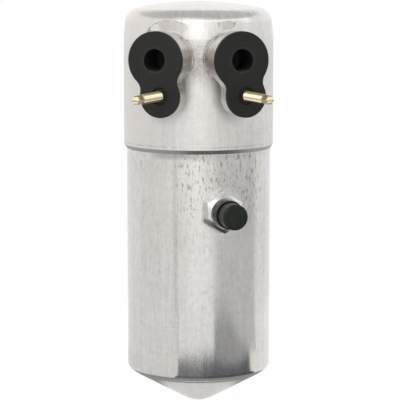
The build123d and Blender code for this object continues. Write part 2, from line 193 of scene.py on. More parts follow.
def port_stain_and_shade(s, colour, azimuth, turns, radii, dull, keep, seed):
    """Weld line, spatter, painted shade, and a dull heat mark with a thin dark edge round one port.

    The mark is part of a ring about the port: turns are degrees from the top, radii in metres. The patch
    starts at dull degrees, and keep is how much of the edge stays at its right-hand end.
    """
    u = s.dot(s.place, sideways(azimuth))
    w = s.dot(s.place, outward(azimuth))
    split = s.add("ShaderNodeSeparateXYZ")
    s.join(s.place, split.inputs[0])
    v = s.math("SUBTRACT", split.outputs[2], PORT_Z)
    facing = s.span(w, 0.02, 0.03)
    radius = s.math("SQRT", s.math("ADD", s.math("MULTIPLY", u, u), s.math("MULTIPLY", v, v)))
    turn = s.math("MULTIPLY", s.math("ARCTAN2", u, v), 180.0 / math.pi)
    shifted = s.add("ShaderNodeVectorMath", operation="ADD")
    s.join(s.place, shifted.inputs[0])
    shifted.inputs[1].default_value = (seed, seed * 0.7, 0.0)
    ragged = s.noise(shifted.outputs[0], 330.0, 4.0, 0.65)
    wander = s.math("SUBTRACT", ragged, 0.5)
    line = s.span(s.math("ADD", radius, s.math("MULTIPLY", wander, 0.0010)), 0.0150, 0.0157, 1.0, 0.0)
    colour = s.blend(s.math("MULTIPLY", s.math("MULTIPLY", line, facing), 0.74), colour, rgb(0.19, 0.15, 0.13))
    # spatter and scuffs close to the weld, strongest between the ports, and painted shade on the shell near the weld
    # there
    near = s.span(radius, 0.0158, 0.0250, 1.0, 0.0)
    inner = s.span(s.math("MULTIPLY", u, -1.0 if azimuth > 0 else 1.0), 0.0, 0.010)
    speck = s.span(s.noise(shifted.outputs[0], 850.0, 3.0, 0.65), 0.47, 0.60)
    wide = s.math("MULTIPLY", s.span(radius, 0.0158, 0.0310, 1.0, 0.0), s.span(v, -0.020, -0.008))
    wide = s.math("MULTIPLY", wide, s.span(v, 0.006, 0.012, 1.0, 0.0))
    scuff = s.math("MULTIPLY", s.math("MULTIPLY", wide, speck), s.math("MULTIPLY", inner, facing))
    # painted shade: the shell darker near the weld between the ports, most below the port's middle
    tint = s.math("MULTIPLY", s.math("MULTIPLY", near, inner), s.math("MULTIPLY", facing, s.span(v, -0.006, 0.006, 0.34, 0.12)))
    colour = s.blend(tint, colour, rgb(0.31, 0.275, 0.265))
    colour = s.blend(s.math("MULTIPLY", scuff, 0.50), colour, rgb(0.29, 0.25, 0.225))
    # painted shade and painted reflection of the cover's lobe on the shell below it
    du = s.math("DIVIDE", s.math("SUBTRACT", u, math.copysign(0.0030, azimuth)), 0.0125)
    dv = s.math("DIVIDE", s.math("ADD", v, 0.0345), 0.0078)
    lobe_shade = s.math("SQRT", s.math("ADD", s.math("MULTIPLY", du, du), s.math("MULTIPLY", dv, dv)))
    lobe_shade = s.math("MULTIPLY", s.span(lobe_shade, 0.15, 1.0, 0.42, 0.0), facing)
    colour = s.blend(lobe_shade, colour, rgb(0.33, 0.305, 0.295))
    # heat mark: a dull pinkish patch inside a thin ragged edge
    middle = (radii[0] + radii[1]) / 2.0
    depth = s.math("DIVIDE", s.math("ABSOLUTE", s.math("SUBTRACT", s.math("ADD", radius, s.math("MULTIPLY", wander, 0.0042)),
                                                       middle)), (radii[1] - radii[0]) / 2.0)
    half = (turns[1] - turns[0]) / 2.0
    about = s.math("SUBTRACT", s.math("ADD", turn, s.math("MULTIPLY", wander, 16.0)), turns[0] + half)
    across = s.math("DIVIDE", s.math("ABSOLUTE", about), half)
    far = s.math("MAXIMUM", depth, across)
    patch = s.math("MULTIPLY", s.span(far, 0.80, 1.0, 1.0, 0.0), s.span(turn, dull, dull + 8.0))
    patch = s.math("MULTIPLY", patch, facing)
    colour = s.blend(s.math("MULTIPLY", patch, 0.46), colour, rgb(0.42, 0.365, 0.36))
    edge = s.math("MULTIPLY", s.span(far, 0.84, 0.93), s.span(far, 1.0, 1.10, 1.0, 0.0))
    edge = s.math("MULTIPLY", s.math("MULTIPLY", edge, facing), s.span(ragged, 0.38, 0.50))
    edge = s.math("MULTIPLY", edge, s.span(radius, middle - 0.001, middle + 0.0005))
    edge = s.math("MULTIPLY", edge, s.span(turn, turns[1] - 12.0, turns[1] - 4.0, 1.0, keep))
    return s.blend(s.math("MULTIPLY", edge, 0.74), colour, rgb(0.20, 0.175, 0.165))


def shell_metal(name, radius, tone, gloss, stains_and_shade=False, marks_and_lip_shadow=False):
    s = Shader(name)
    arc, z, degrees = cylinder_place(s, radius)
    flat = s.add("ShaderNodeCombineXYZ")
    s.join(arc, flat.inputs[0])
    s.join(s.math("MULTIPLY", z, 0.035), flat.inputs[2])
    streak = s.noise(flat.outputs[0], 1500.0, 4.0, 0.6)
    broad = s.noise(flat.outputs[0], 210.0, 2.0, 0.5)
    cloud = s.noise(s.place, 26.0, 3.0, 0.55)
    grain = s.noise(s.place, 1400.0, 2.0, 0.5)
    mottle = s.noise(s.place, 310.0, 3.0, 0.6)
    value = s.math("ADD", s.span(cloud, 0.3, 0.7, -0.035, 0.035), s.span(streak, 0.25, 0.75, -0.065, 0.065))
    value = s.math("ADD", value, s.span(broad, 0.3, 0.7, -0.030, 0.030))
    value = s.math("ADD", value, s.span(mottle, 0.3, 0.7, -0.040, 0.040))
    value = s.math("ADD", value, s.span(grain, 0.3, 0.7, -0.055, 0.055))
    warm = s.span(s.noise(s.place, 17.0, 2.0, 0.5), 0.4, 0.6)
    colour = s.blend(warm, rgb(tone * 1.034, tone, tone * 0.960), rgb(tone * 1.022, tone, tone * 0.975))
    colour = s.shade(colour, s.math("ADD", value, 1.0))
    if stains_and_shade:
        colour = s.blend(s.span(degrees, -58.0, -18.0, 0.60, 0.0), colour, rgb(0.695, 0.650, 0.620))
        colour = port_stain_and_shade(s, colour, -PORT_AZIMUTH, (-42.0, 36.0), (0.0165, 0.0228), -24.0, 0.0, 0.31)
        colour = port_stain_and_shade(s, colour, PORT_AZIMUTH, (-16.0, 13.0), (0.0170, 0.0222), -16.0, 1.0, 0.77)
        lip = s.span(z, LIP_Z + 0.0034, LIP_Z + 0.0042)
        lip = s.math("MULTIPLY", lip, s.span(z, LIP_Z + 0.0042, LIP_Z + 0.0050, 1.0, 0.0))
        patchy = s.span(s.noise(flat.outputs[0], 90.0, 2.0, 0.6), 0.38, 0.6)
        colour = s.blend(s.math("MULTIPLY", s.math("MULTIPLY", lip, patchy), 0.32), colour, rgb(0.2, 0.19, 0.18))
        # painted shade on the lowest edge of the skirt's lip
        lip_edge_shade = s.span(z, LIP_Z + 0.0022, LIP_Z + 0.0027, 1.0, 0.0)
        colour = s.blend(s.math("MULTIPLY", lip_edge_shade, 0.66), colour, rgb(0.14, 0.135, 0.13))
    if marks_and_lip_shadow:
        # painted shadow of the lip on the corner under it, heaviest to the left of the front
        under = s.span(s.math("ADD", z, s.math("MULTIPLY", mottle, 0.0016)), LIP_Z - 0.0042, LIP_Z - 0.0004)
        under = s.math("MULTIPLY", under, s.span(degrees, -44.0, -30.0))
        under = s.math("MULTIPLY", under, s.span(degrees, -14.0, 30.0, 1.0, 0.25))
        colour = s.blend(s.math("MULTIPLY", under, 0.52), colour, rgb(0.22, 0.21, 0.20))
        tall = s.add("ShaderNodeCombineXYZ")
        s.join(arc, tall.inputs[0])
        s.join(s.math("MULTIPLY", z, 0.30), tall.inputs[2])
        mark = s.span(s.noise(tall.outputs[0], 760.0, 3.0, 0.6), 0.535, 0.63)
        zone = s.math("MULTIPLY", s.span(z, LIP_Z - 0.062, LIP_Z - 0.020), s.span(degrees, -30.0, -5.0))
        zone = s.math("MULTIPLY", zone, s.span(degrees, 50.0, 66.0, 1.0, 0.0))
        colour = s.blend(s.math("MULTIPLY", s.math("MULTIPLY", mark, zone), 0.66), colour, rgb(0.20, 0.19, 0.18))
        faint = s.math("MULTIPLY", mark, s.span(s.noise(s.place, 40.0, 1.0), 0.45, 0.6))
        colour = s.blend(s.math("MULTIPLY", faint, 0.20), colour, rgb(0.2, 0.2, 0.2))
        # brazed zone round the service fitting: duller and lighter
        around = s.add("ShaderNodeVectorMath", operation="DISTANCE")
        s.join(s.place, around.inputs[0])
        around.inputs[1].default_value = out * SHELL_R + Vector((0.0, 0.0, SERVICE_Z))
        halo = s.span(s.math("ADD", around.outputs["Value"], s.math("MULTIPLY", mottle, 0.003)), 0.0130, 0.0190, 1.0, 0.0)
        colour = s.blend(s.math("MULTIPLY", halo, 0.5), colour, rgb(tone * 1.16, tone * 1.14, tone * 1.12))
    s.bump(s.math("ADD", s.math("MULTIPLY", streak, 0.6), s.math("MULTIPLY", grain, 0.4)), 0.00004, 0.35)
    rough = s.math("ADD", s.span(streak, 0.25, 0.75, -0.02, 0.03), s.span(cloud, 0.3, 0.7, gloss, gloss + 0.03))
    if stains_and_shade:
        rough = s.math("ADD", rough, s.span(z, 0.158, 0.170, 0.085, -0.08))
    if marks_and_lip_shadow:
        rough = s.math("ADD", rough, s.math("MULTIPLY", halo, 0.26))
    return s.finish(colour, rough, 1.0)


def turned_metal(name, colour, axis_point, axis, rough, pitch=0.0, thread=None, mark=0.02, stud_shade_azimuth=None, lower_left_shade=None):
    """Machined metal with fine tool lines round an axis, and a thread between two places on it, with painted shade in
    its roots.

    A stud's azimuth, if given, puts painted shade on the pad's face round that stud's foot. The distance, if given,
    is how far from the axis, low on the viewer's left, the metal is darkened with painted shade.
    """
    s = Shader(name)
    offset = s.add("ShaderNodeVectorMath", operation="SUBTRACT")
    s.join(s.place, offset.inputs[0])
    offset.inputs[1].default_value = axis_point
    along = s.dot(offset.outputs[0], axis)
    across = Vector((0.0, 0.0, 1.0)).cross(axis).normalized()
    up = axis.cross(across)
    a = s.dot(offset.outputs[0], across)
    b = s.dot(offset.outputs[0], up)
    radius = s.math("SQRT", s.math("ADD", s.math("MULTIPLY", a, a), s.math("MULTIPLY", b, b)))
    rings = s.add("ShaderNodeCombineXYZ")
    s.join(s.math("ADD", along, s.math("MULTIPLY", radius, 0.7)), rings.inputs[0])
    lines = s.noise(rings.outputs[0], 5200.0, 2.0, 0.6)
    cloud = s.noise(s.place, 160.0, 3.0, 0.55)
    fine = s.noise(s.place, 2600.0, 2.0, 0.5)
    value = s.math("ADD", s.span(lines, 0.3, 0.7, 1.0 - mark, 1.0 + mark), s.span(cloud, 0.3, 0.7, -0.05, 0.04))
    tinted = s.shade(colour, value)
    height = s.math("ADD", s.math("MULTIPLY", lines, 0.5), s.math("MULTIPLY", fine, 0.5))
    depth = 0.00003
    if thread:
        turn = s.math("DIVIDE", s.math("ARCTAN2", a, b), 2.0 * math.pi)
        phase = s.math("FRACT", s.math("ADD", s.math("DIVIDE", along, pitch), turn))
        ridge = s.math("ABSOLUTE", s.math("SUBTRACT", phase, 0.5))
        zone = s.math("MULTIPLY", s.span(along, thread[0], thread[0] + pitch * 0.4),
                      s.span(along, thread[1] - pitch * 0.4, thread[1], 1.0, 0.0))
        zone = s.math("MULTIPLY", zone, thread[2])
        # painted shade in the thread's roots
        tinted = s.blend(s.math("MULTIPLY", zone, s.span(ridge, 0.0, 0.35, 0.55, 0.0)), tinted, rgb(0.12, 0.11, 0.09))
        depth = 0.0005
        height = s.math("ADD", s.math("MULTIPLY", height, 0.06), s.math("MULTIPLY", zone, ridge))
    # painted shade on the pad's face round the stud's foot, where the cover's hole shows it
    if stud_shade_azimuth is not None:
        u = s.math("SUBTRACT", s.dot(s.place, sideways(stud_shade_azimuth)), STUD_SHIFT)
        v = s.math("SUBTRACT", s.dot(s.place, (0.0, 0.0, 1.0)), STUD_Z)
        away = s.math("SQRT", s.math("ADD", s.math("MULTIPLY", u, u), s.math("MULTIPLY", v, v)))
        foot = s.math("MULTIPLY", s.span(away, 0.0036, 0.0040, 1.0, 0.0), s.span(along, 0.0640, 0.0646))
        tinted = s.blend(s.math("MULTIPLY", foot, 0.95), tinted, rgb(0.03, 0.028, 0.025))
    # painted shade on the fitting's lower left
    if lower_left_shade:
        side = s.dot(offset.outputs[0], Vector((0.0, 0.0, -0.866)) - sideways(SERVICE_AZIMUTH) * 0.5)
        side = s.math("ADD", side, s.span(cloud, 0.3, 0.7, -0.0006, 0.0006))
        dark = s.span(side, lower_left_shade, lower_left_shade + 0.0014)
        tinted = s.blend(s.math("MULTIPLY", dark, 0.80), tinted, rgb(0.10, 0.094, 0.086))
    s.bump(height, depth, 0.5)
    roughness = s.math("ADD", rough, s.span(cloud, 0.3, 0.7, -0.03, 0.05))
    return s.finish(tinted, roughness, 1.0)


def plastic(name, colour, rough, grain=0.00002, spots=0.0, recess=None, **constants):
    """Moulded plastic: faint mottling, a grain, specks of dust, and in a cover's recess painted light low on its wall
    and a painted highlight round its rim.
    """
    s = Shader(name)
    cloud = s.noise(s.place, 90.0, 3.0, 0.55)
    fine = s.noise(s.place, 3200.0, 2.0, 0.6)
    base = s.shade(rgb(*colour), s.span(cloud, 0.3, 0.7, 0.85, 1.18))
    if spots:
        dust = s.span(s.noise(s.place, 700.0, 2.0, 0.5), 0.66, 0.72)
        base = s.blend(s.math("MULTIPLY", dust, spots), base, rgb(0.20, 0.20, 0.19))
    if recess:
        u = s.dot(s.place, sideways(recess))
        v = s.math("SUBTRACT", s.dot(s.place, (0.0, 0.0, 1.0)), PORT_Z)
        radius = s.math("SQRT", s.math("ADD", s.math("MULTIPLY", u, u), s.math("MULTIPLY", v, v)))
        low = s.span(s.math("SUBTRACT", s.math("MULTIPLY", u, -math.copysign(1.0, recess)), v), -0.001, 0.006)
        # painted light on the lower inner wall of the recess
        lit_recess_wall = s.math("MULTIPLY", s.span(radius, 0.0069, 0.0071, 1.0, 0.0), low)
        base = s.blend(s.math("MULTIPLY", lit_recess_wall, 0.8), base, rgb(0.105, 0.102, 0.092))
        # painted highlight: a lighter ring just outside the recess's rim
        ring = s.math("MULTIPLY", s.span(radius, 0.0071, 0.0073), s.span(radius, 0.0076, 0.0080, 1.0, 0.0))
        base = s.blend(s.math("MULTIPLY", ring, 0.35), base, rgb(0.05, 0.05, 0.046))
    s.bump(s.math("ADD", fine, s.math("MULTIPLY", cloud, 2.0)), grain, 0.6)
    roughness = s.math("ADD", rough, s.span(cloud, 0.3, 0.7, -0.05, 0.06))
    return s.finish(base, roughness, 0.0, **constants)


def weave(name, colour, pitch):
    """Cloth or mesh: crossed threads over a mottled colour."""
    s = Shader(name)
    split = s.add("ShaderNodeSeparateXYZ")
    s.join(s.place, split.inputs[0])
    k = 2.0 * math.pi / pitch
    x = s.math("SINE", s.math("MULTIPLY", s.math("ADD", split.outputs[0], split.outputs[1]), k))
    z = s.math("SINE", s.math("MULTIPLY", split.outputs[2], k))
    cross = s.math("MULTIPLY", x, z)
    fibre = s.noise(s.place, 1800.0, 4.0, 0.7)
    cloud = s.noise(s.place, 60.0, 2.0, 0.5)
    value = s.math("ADD", s.span(fibre, 0.3, 0.7, 0.86, 1.08), s.span(cloud, 0.3, 0.7, -0.05, 0.05))
    base = s.shade(rgb(*colour), value)
    base = s.blend(s.span(cross, -1.0, 0.2, 0.35, 0.0), base, rgb(colour[0] * 0.5, colour[1] * 0.5, colour[2] * 0.5))
    s.bump(s.math("ADD", s.math("MULTIPLY", cross, 0.5), fibre), 0.0002, 0.6)
    return s.finish(base, s.span(fibre, 0.3, 0.7, 0.85, 0.98), 0.0, Sheen_Weight=0.3)


def weld_metal(name, tone):
    """Brazed or welded bead: rippled, dull and heat-tinted in places."""
    s = Shader(name)
    cloud = s.noise(s.place, 240.0, 3.0, 0.6)
    fine = s.noise(s.place, 1500.0, 3.0, 0.65)
    colour = s.blend(s.span(cloud, 0.42, 0.66), rgb(tone, tone * 0.985, tone * 0.965),
                     rgb(tone * 0.66, tone * 0.62, tone * 0.59))
    colour = s.shade(colour, s.span(fine, 0.3, 0.7, 0.85, 1.08))
    s.bump(fine, 0.00025, 0.7)
    return s.finish(colour, s.span(cloud, 0.3, 0.7, 0.30, 0.46), 1.0)


def paint(node, material):
    """Gives a CAD node its material."""
    mesh = nodes[node].data
    mesh.materials.clear()
    mesh.materials.append(material)


left, right = outward(-PORT_AZIMUTH), outward(PORT_AZIMUTH)
out = outward(SERVICE_AZIMUTH)
left_axis = Vector((0.0, 0.0, PORT_Z))
service_axis = Vector((0.0, 0.0, SERVICE_Z))

paint("upper_shell", shell_metal("upper_shell_metal", CAP_R, 0.65, 0.29, stains_and_shade=True))
paint("lower_shell", shell_metal("lower_shell_metal", SHELL_R, 0.65, 0.13, marks_and_lip_shadow=True))
paint("inlet_port_block", turned_metal("inlet_block_metal", rgb(0.675, 0.655, 0.635), left_axis, left, 0.30,
                                        stud_shade_azimuth=-PORT_AZIMUTH))
paint("outlet_port_block", turned_metal("outlet_block_metal", rgb(0.675, 0.655, 0.635), left_axis, right, 0.30,
                                         stud_shade_azimuth=PORT_AZIMUTH))
paint("service_fitting", turned_metal("fitting_metal", rgb(0.72, 0.71, 0.69), service_axis, out, 0.34,
                                      pitch=0.00125, thread=(0.0575, 0.0690, 1.0), lower_left_shade=0.0080))
paint("inlet_cover", plastic("inlet_cover_black", (0.0155, 0.0150, 0.0130), 0.5, spots=0.10,
                             recess=-PORT_AZIMUTH, Specular_IOR_Level=0.26))
paint("outlet_cover", plastic("outlet_cover_black", (0.0118, 0.0122, 0.0106), 0.5, spots=0.10,
                              recess=PORT_AZIMUTH, Specular_IOR_Level=0.26))
paint("service_cap", plastic("service_cap_black", (0.0098, 0.0124, 0.0099), 0.38, spots=0.06, Specular_IOR_Level=0.24))
paint("cap_seal", plastic("seal_black", (0.02, 0.02, 0.02), 0.6))
paint("valve_core_gasket", plastic("gasket_black", (0.02, 0.02, 0.02), 0.6))
paint("valve_seat_washer", plastic("washer_black", (0.02, 0.02, 0.02), 0.6))
paint("valve_core_body", turned_metal("core_brass", rgb(0.78, 0.60, 0.28), service_axis, out, 0.22,
                                      pitch=0.0007, thread=(0.0622, 0.0672, 0.6)))
paint("valve_pin", turned_metal("pin_brass", rgb(0.80, 0.63, 0.32), service_axis, out, 0.18))
paint("pickup_tube", turned_metal("tube_metal", rgb(0.72, 0.72, 0.715), service_axis, Vector((0, 0, 1)), 0.28))
paint("deflector", plastic("deflector_nylon", (0.66, 0.63, 0.54), 0.42))
paint("desiccant_bag", weave("bag_felt", (0.74, 0.73, 0.69), 0.0011))
paint("bag_ties", plastic("tie_nylon", (0.66, 0.64, 0.57), 0.4))
paint("bleed_filter_cage", plastic("cage_nylon", (0.05, 0.05, 0.055), 0.42))
paint("bleed_screen", weave("screen_mesh", (0.50, 0.51, 0.50), 0.0004))


def stud_metal():
    """Iridescent yellow zinc with painted shade by height round the stud: olive on top, an olive line and pinkish
    brown below, and dark at the foot in the pad.
    """
    s = Shader("stud_zinc")
    cloud = s.noise(s.place, 420.0, 3.0, 0.6)
    fine = s.noise(s.place, 2500.0, 3.0, 0.6)
    height = s.math("DIVIDE", s.math("SUBTRACT", s.dot(s.place, (0.0, 0.0, 1.0)), STUD_Z), STUD_R)
    height = s.math("ADD", height, s.span(cloud, 0.3, 0.7, -0.06, 0.06))
    colour = s.blend(s.span(cloud, 0.35, 0.65), rgb(0.91, 0.82, 0.57), rgb(0.87, 0.75, 0.52))
    # painted shade by height round the stud: olive on top, an olive line below the middle, pinkish brown underneath
    colour = s.blend(s.math("MULTIPLY", s.span(height, 0.58, 0.86), 0.80), colour, rgb(0.30, 0.26, 0.13))
    line = s.math("MULTIPLY", s.span(height, -0.30, -0.16), s.span(height, -0.06, 0.10, 1.0, 0.0))
    colour = s.blend(s.math("MULTIPLY", line, 0.80), colour, rgb(0.34, 0.29, 0.15))
    colour = s.blend(s.math("MULTIPLY", s.span(height, -0.78, -0.46, 1.0, 0.0), 0.88), colour, rgb(0.30, 0.20, 0.15))
    along = s.math("MAXIMUM", s.dot(s.place, left), s.dot(s.place, right))
    end = s.math("MULTIPLY", s.span(along, SHANK_END - 0.0004, SHANK_END + 0.0004),
                 s.span(along, STUD_TIP - 0.0012, STUD_TIP - 0.0003, 1.0, 0.0))
    colour = s.blend(s.math("MULTIPLY", end, 0.80), colour, rgb(0.44, 0.37, 0.17))
    # painted shade on the stud's foot inside the cover's hole
    foot = s.span(along, 0.0664, 0.0672, 1.0, 0.0)
    colour = s.blend(s.math("MULTIPLY", foot, 0.92), colour, rgb(0.03, 0.028, 0.025))
    colour = s.shade(colour, s.span(fine, 0.3, 0.7, 0.95, 1.04))
    s.bump(fine, 0.00002, 0.5)
    return s.finish(colour, s.span(cloud, 0.3, 0.7, 0.14, 0.20), s.span(end, 0.0, 1.0, 0.94, 0.45))


paint("port_studs", stud_metal())


# Mesh pieces

def tube(name, points, radii, sides=10, closed=False):
    """A round bar along points, its frame carried from point to point."""
    mesh = bmesh.new()
    count = len(points)
    rings = []
    last = None
    for i, point in enumerate(points):
        before = points[(i - 1) % count] if closed or i else points[i]
        after = points[(i + 1) % count] if closed or i < count - 1 else points[i]
        along = (after - before).normalized()
        if last is None:
            last = along.orthogonal().normalized()
        last = (last - along * last.dot(along)).normalized()
        other = along.cross(last)
        ring = []
        for k in range(sides):
            angle = 2.0 * math.pi * k / sides
            ring.append(mesh.verts.new(point + (last * math.cos(angle) + other * math.sin(angle)) * radii[i]))
        rings.append(ring)
    for i in range(count if closed else count - 1):
        a, b = rings[i], rings[(i + 1) % count]
        shift = 0
        if closed and i == count - 1:
            shift = min(range(sides), key=lambda n: (b[n].co - a[0].co).length)
        for k in range(sides):
            n = (k + 1) % sides
            mesh.faces.new((a[k], a[n], b[(n + shift) % sides], b[(k + shift) % sides]))
    if not closed:
        mesh.faces.new(list(reversed(rings[0])))
        mesh.faces.new(rings[-1])
    for face in mesh.faces:
        face.smooth = True
    data = bpy.data.meshes.new(name)
    mesh.to_mesh(data)
    mesh.free()
    made = bpy.data.objects.new(name, data)
    bpy.context.collection.objects.link(made)
    return made


def wall_r(z):
    return CAP_R - TAPER_RUN * max(0.0, z - TAPER_Z)


def port_bead(name, azimuth):
    """Weld bead in the corner between a port's neck and the upper shell."""
    steps = 150
    reach = NECK_R + 0.0002
    points, radii = [], []
    for i in range(steps):
        angle = 2.0 * math.pi * i / steps
        u, v = reach * math.cos(angle), reach * math.sin(angle)
        depth = math.sqrt(wall_r(PORT_Z + v) ** 2 - u * u)
        points.append(outward(azimuth) * (depth + 0.0001) + sideways(azimuth) * u + Vector((0, 0, PORT_Z + v)))
        ripple = noise.noise(Vector((math.cos(angle) * 3, math.sin(angle) * 3, azimuth)))
        radii.append(0.00062 * (1.0 + 0.12 * math.sin(angle * 37.0) + 0.3 * ripple))
    bead = tube(name, points, radii, 9, closed=True)
    bead.data.materials.append(weld_metal(name + "_metal", 0.60))
    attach(bead, "can")


def hex_point(angle, reach):
    """A place round the hexagon's outline, a point at the top, its corners a little rounded."""
    sector = math.pi / 3.0
    local = (angle - math.pi / 2.0 + sector / 2.0) % sector - sector / 2.0
    flat = reach / math.cos(sector / 2.0 - abs(local))
    return min(flat, reach * 1.125)


def service_bead():
    """Braze fillet round the foot of the hexagon."""
    steps = 168
    points, radii = [], []
    for i in range(steps):
        angle = 2.0 * math.pi * i / steps
        reach = hex_point(angle, 0.0110)
        u, v = reach * math.cos(angle), reach * math.sin(angle)
        depth = math.sqrt(SHELL_R ** 2 - u * u)
        points.append(out * (depth + 0.0001) + sideways(SERVICE_AZIMUTH) * u + Vector((0, 0, SERVICE_Z + v)))
        ripple = noise.noise(Vector((math.cos(angle) * 2.2, math.sin(angle) * 2.2, 3.7)))
        radii.append(0.00060 * (1.0 + 0.05 * math.sin(angle * 29.0) + 0.22 * ripple))
    bead = tube("service_bead", points, radii, 10, closed=True)
    bead.data.materials.append(weld_metal("service_bead_metal", 0.78))
    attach(bead, "can")


def spring():
    """The valve spring, which shortens as the pin is pressed, drawn as a round-wire coil at one length."""
    turns, low, high, mean, wire = 5.0, 0.05967, 0.06423, 0.00108, 0.00017
    steps = 160
    across = sideways(SERVICE_AZIMUTH)
    up = Vector((0.0, 0.0, 1.0))
    points = []
    for i in range(steps + 1):
        share = i / steps
        angle = 2.0 * math.pi * turns * share
        centre = out * (low + (high - low) * share) + Vector((0, 0, SERVICE_Z))
        points.append(centre + (across * math.cos(angle) + up * math.sin(angle)) * mean)
    coil = tube("valve_spring_coil", points, [wire] * len(points), 8)
    s = Shader("spring_wire")
    fine = s.noise(s.place, 6000.0, 2.0, 0.5)
    tone = s.shade(rgb(0.60, 0.60, 0.59), s.span(fine, 0.3, 0.7, 0.85, 1.1))
    coil.data.materials.append(s.finish(tone, s.span(fine, 0.3, 0.7, 0.2, 0.35), 1.0))
    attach(coil, "can")
    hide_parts("valve_spring")
    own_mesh(coil)


def stud(mesh, azimuth):
    """One stud: a threaded shank, a groove, and a six-lobed drive end, added to an open mesh."""
    axis = outward(azimuth)
    across = sideways(azimuth)
    up = Vector((0.0, 0.0, 1.0))
    centre = across * STUD_SHIFT + Vector((0.0, 0.0, STUD_Z))

    def place(angle, radius, distance):
        return centre + axis * distance + (across * math.cos(angle) + up * math.sin(angle)) * radius

    def skin(first, second, shift=0):
        for k in range(len(first)):
            n = (k + 1) % len(first)
            face = mesh.faces.new((first[k], first[n], second[(n + shift) % len(second)],
                                   second[(k + shift) % len(second)]))
            face.smooth = False

    # thread: one crest and one root a turn, each ring a helix that ends one pitch further on
    sides = 44
    levels = int((SHANK_END - SHANK_FOOT) / THREAD_PITCH) * 4
    grid = []
    for level in range(levels + 5):
        ring = []
        for k in range(sides + 1):
            distance = SHANK_FOOT + THREAD_PITCH * (level / 4.0 - 1.0 + k / sides)
            phase = level % 4
            radius = (STUD_ROOT, (STUD_R + STUD_ROOT) / 2.0, STUD_R, (STUD_R + STUD_ROOT) / 2.0)[phase]
            if distance < SHANK_FOOT + 0.0004 or distance > SHANK_END - 0.0004:
                radius = STUD_ROOT + 0.00005
            distance = min(max(distance, SHANK_FOOT), SHANK_END)
            angle = 2.0 * math.pi * k / sides
            ring.append(mesh.verts.new(place(angle, radius, distance)))
        grid.append(ring)
    for level in range(levels + 4):
        for k in range(sides):
            face = mesh.faces.new((grid[level][k], grid[level][k + 1], grid[level + 1][k + 1], grid[level + 1][k]))
            face.smooth = False
    # root in the pad, groove and drive end
    for stations in (
        ((0.0, STUD_FOOT), (STUD_R - 0.0003, STUD_FOOT), (STUD_R, STUD_FOOT + 0.0003), (STUD_R, PAD_FRONT),
         (STUD_RELIEF, PAD_FRONT), (STUD_RELIEF, SHANK_FOOT), (STUD_ROOT, SHANK_FOOT)),
        ((STUD_ROOT, SHANK_END - 0.0004), (STUD_ROOT + 0.0004, SHANK_END - 0.0004),
         (STUD_GROOVE, SHANK_END + 0.0003), (STUD_GROOVE, DRIVE_FOOT)),
    ):
        rings = [[mesh.verts.new(place(2.0 * math.pi * k / sides, max(radius, 0.00001), distance))
                  for k in range(sides)] for radius, distance in stations]
        for first, second in zip(rings, rings[1:]):
            skin(first, second)
    lobes = 48
    rings = []
    for scale, distance in ((0.72, DRIVE_FOOT), (1.0, DRIVE_FOOT + 0.0003), (1.0, STUD_TIP - 0.0016),
                            (0.93, STUD_TIP - 0.0007), (0.76, STUD_TIP - 0.0002), (0.50, STUD_TIP),
                            (0.001, STUD_TIP)):
        ring = []
        for k in range(lobes):
            angle = 2.0 * math.pi * k / lobes
            wave = 0.5 + 0.5 * math.cos(6.0 * angle)
            radius = DRIVE_R * (1.0 - 0.17 * (1.0 - wave ** 0.7)) * scale
            ring.append(mesh.verts.new(place(angle, radius, distance)))
        rings.append(ring)
    for first, second in zip(rings, rings[1:]):
        skin(first, second)


def threaded_studs():
    mesh = bmesh.new()
    for azimuth in (-PORT_AZIMUTH, PORT_AZIMUTH):
        stud(mesh, azimuth)
    data = bpy.data.meshes.new("threaded_studs")
    mesh.to_mesh(data)
    mesh.free()
    made = bpy.data.objects.new("threaded_studs", data)
    bpy.context.collection.objects.link(made)
    made.data.materials.append(stud_metal())
    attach(made, "can")
    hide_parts("port_studs")


port_bead("inlet_weld_bead", -PORT_AZIMUTH)
threaded_studs()
port_bead("outlet_weld_bead", PORT_AZIMUTH)
service_bead()
spring()


# Stage: a pale floor, soft lights, and plain cards that only the metal's reflections see

def flat_tone(name, build):
    material = bpy.data.materials.new(name)
    material.use_nodes = True
    tree = material.node_tree
    tree.nodes.clear()
    end = tree.nodes.new("ShaderNodeOutputMaterial")
    build(tree, end)
    return material


def floor_tree(tree, end):
    """White to the camera, mirrors and glass, with a share of lit paint so that the shadow stays."""
    path = tree.nodes.new("ShaderNodeLightPath")
    seen = tree.nodes.new("ShaderNodeMath")
    seen.operation = "MAXIMUM"
    tree.links.new(path.outputs["Is Camera Ray"], seen.inputs[0])
    tree.links.new(path.outputs["Is Glossy Ray"], seen.inputs[1])
    either = tree.nodes.new("ShaderNodeMath")
    either.operation = "MAXIMUM"
    tree.links.new(seen.outputs[0], either.inputs[0])
    tree.links.new(path.outputs["Is Transmission Ray"], either.inputs[1])
    share = tree.nodes.new("ShaderNodeMath")
    share.operation = "MULTIPLY"
    share.inputs[1].default_value = 0.90
    tree.links.new(either.outputs[0], share.inputs[0])
    paint_ = tree.nodes.new("ShaderNodeBsdfDiffuse")
    paint_.inputs["Color"].default_value = (0.92, 0.92, 0.92, 1.0)
    white = tree.nodes.new("ShaderNodeEmission")
    white.inputs["Color"].default_value = (1.0, 1.0, 1.0, 1.0)
    white.inputs["Strength"].default_value = 1.06
    mix = tree.nodes.new("ShaderNodeMixShader")
    tree.links.new(share.outputs[0], mix.inputs[0])
    tree.links.new(paint_.outputs[0], mix.inputs[1])
    tree.links.new(white.outputs[0], mix.inputs[2])
    tree.links.new(mix.outputs[0], end.inputs["Surface"])


